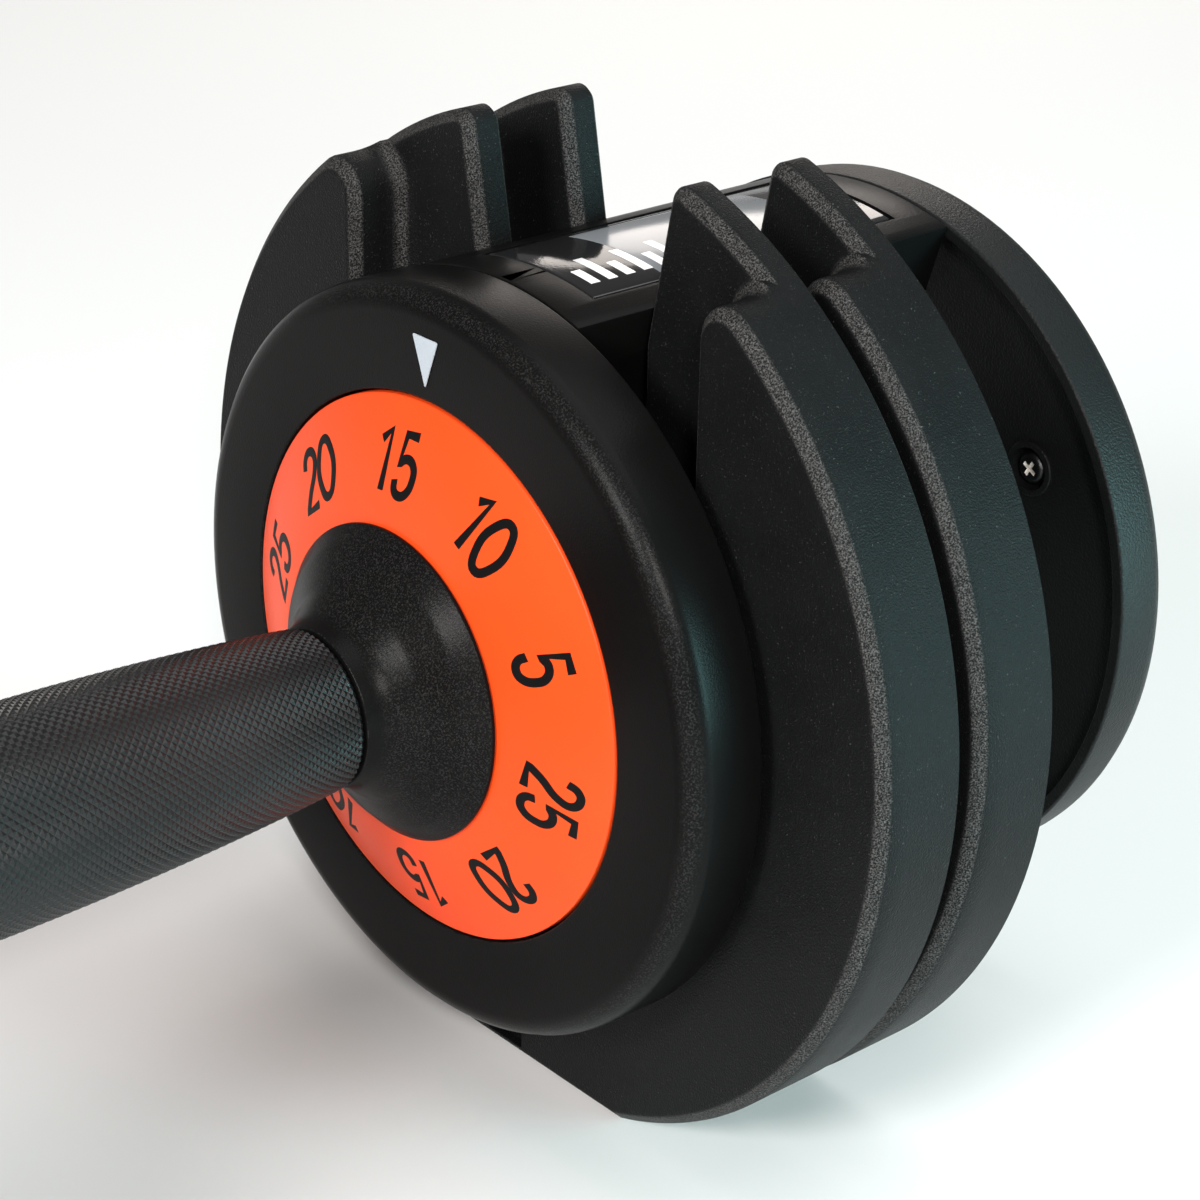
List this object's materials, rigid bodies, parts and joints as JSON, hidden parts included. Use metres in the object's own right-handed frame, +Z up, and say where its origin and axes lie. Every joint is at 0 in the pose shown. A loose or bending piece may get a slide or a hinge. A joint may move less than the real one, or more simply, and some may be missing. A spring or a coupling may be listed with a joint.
{
  "type": "adjustable dumbbell",
  "caption": "Adjustable dumbbell whose turning grip drives numbered dials and inner selectors that hook slotted weight plates onto each head.",
  "frame": {"origin": "on the floor, on the plates' flats, under the middle of the grip", "axes": "+X along the handle's axis, +Z up through the heads' bridges"},
  "size_m": [0.3466, 0.1488, 0.1407],
  "materials": {
    "satin_black_plastic": "satin moulded",
    "grained_black_plastic": "fine spark-eroded grain",
    "orange_plastic": "semi-gloss moulded",
    "black_nylon": "moulded nylon",
    "grip_rubber": "moulded diamond knurl",
    "coated_iron": "black textured powder coat",
    "label_film": "domed gloss label",
    "bright_steel": "zinc plated",
    "dark_steel": "black oxide"
  },
  "bodies": {
    "frame": {"core_bar": "dark_steel", "inner_cover_right": "satin_black_plastic", "inner_cover_left": "satin_black_plastic", "ballast_ring_right": "coated_iron", "ballast_ring_left": "coated_iron", "cover_bush_right": "black_nylon", "cover_bush_left": "black_nylon", "detent_spring_right": "bright_steel", "detent_spring_left": "bright_steel", "bridge_right": "satin_black_plastic", "bridge_left": "satin_black_plastic", "label_right": "label_film", "label_left": "label_film", "outer_cup_right": "grained_black_plastic", "outer_cup_left": "grained_black_plastic", "end_cover_right": "grained_black_plastic", "end_cover_left": "grained_black_plastic", "axle_washer_right": "bright_steel", "axle_washer_left": "bright_steel", "axle_bolt_right": "bright_steel", "axle_bolt_left": "bright_steel", "bridge_screw_inboard_1_right": "dark_steel", "bridge_screw_inboard_1_left": "dark_steel", "bridge_screw_inboard_2_right": "dark_steel", "bridge_screw_inboard_2_left": "dark_steel", "bridge_screw_outboard_1_right": "dark_steel", "bridge_screw_outboard_1_left": "dark_steel", "bridge_screw_outboard_2_right": "dark_steel", "bridge_screw_outboard_2_left": "dark_steel", "end_cover_screw_1_right": "bright_steel", "end_cover_screw_1_left": "bright_steel", "end_cover_screw_2_right": "bright_steel", "end_cover_screw_2_left": "bright_steel", "end_cover_screw_3_right": "bright_steel", "end_cover_screw_3_left": "bright_steel", "plate_1_right": "coated_iron", "plate_1_left": "coated_iron", "plate_2_right": "coated_iron", "plate_2_left": "coated_iron"},
    "drive": {"grip": "grip_rubber", "handle_tube": "bright_steel", "collar_right": "satin_black_plastic", "collar_left": "satin_black_plastic", "dial_right": "orange_plastic", "dial_left": "orange_plastic", "drive_sleeve_right": "black_nylon", "drive_sleeve_left": "black_nylon", "retaining_ring_right": "dark_steel", "retaining_ring_left": "dark_steel", "selector_1_right": "black_nylon", "selector_1_left": "black_nylon", "selector_2_right": "black_nylon", "selector_2_left": "black_nylon", "selector_3_right": "black_nylon", "selector_3_left": "black_nylon", "selector_4_right": "black_nylon", "selector_4_left": "black_nylon"},
    "ball_right": {"detent_ball_right": "bright_steel"},
    "ball_left": {"detent_ball_left": "bright_steel"}
  },
  "joints": [
    {"name": "handle_turn", "type": "hinge", "parent": "frame", "child": "drive", "pos_m": [0, 0, 0.0693], "axis": [1, 0, 0], "continuous": true},
    {"name": "detent_press_right", "type": "slide", "parent": "frame", "child": "ball_right", "axis": [1, 0, 0], "range_m": [0, 0.0008], "stiffness_N_per_m": 800, "springref_m": -0.003},
    {"name": "detent_press_left", "type": "slide", "parent": "frame", "child": "ball_left", "axis": [-1, 0, 0], "range_m": [0, 0.0008], "stiffness_N_per_m": 800, "springref_m": -0.003}
  ]
}
